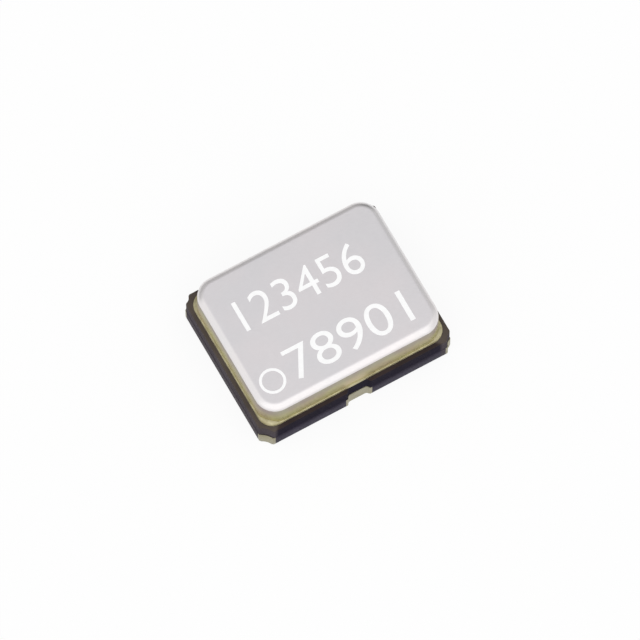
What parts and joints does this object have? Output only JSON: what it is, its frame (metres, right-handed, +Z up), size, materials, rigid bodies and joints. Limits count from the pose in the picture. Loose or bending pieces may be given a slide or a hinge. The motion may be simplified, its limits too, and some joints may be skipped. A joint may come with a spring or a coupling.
{
  "type": "crystal oscillator",
  "caption": "Flat surface-mount crystal oscillator: black ceramic body with gold castellated terminals, gold seal ring and rounded metal lid.",
  "frame": {"origin": "middle of the solder face, which is the underside of the terminals", "axes": "+X along the long side, +Y away from the side that carries terminals 1 to 3, +Z up through the lid; terminal 1 is at -X, -Y"},
  "size_m": [0.0032, 0.0024, 0.0011],
  "materials": {
    "black_ceramic": "satin",
    "gold_plating": "satin",
    "lid_metal": "satin",
    "tungsten_print": "matte",
    "silicon": "polished",
    "gold": "polished",
    "conductive_adhesive": "matte",
    "electrode_film": "polished",
    "quartz": "polished",
    "printed_alumina": "matte"
  },
  "bodies": {
    "root": {"ceramic_base": "black_ceramic", "rim_metallisation": "gold_plating", "braze_fillet": "gold_plating", "seal_ring": "gold_plating", "lid": "lid_metal", "terminal_1": "gold_plating", "terminal_2": "gold_plating", "terminal_3": "gold_plating", "terminal_4": "gold_plating", "terminal_5": "gold_plating", "terminal_6": "gold_plating", "floor_traces": "tungsten_print", "crystal_vias": "tungsten_print", "ring_via": "tungsten_print", "crystal_lands": "gold", "die_bumps": "gold", "ic_die": "silicon", "adhesive_dots": "conductive_adhesive", "bottom_electrode": "electrode_film", "quartz_blank": "quartz", "top_electrode": "electrode_film", "support_pillow": "printed_alumina"}
  },
  "joints": []
}
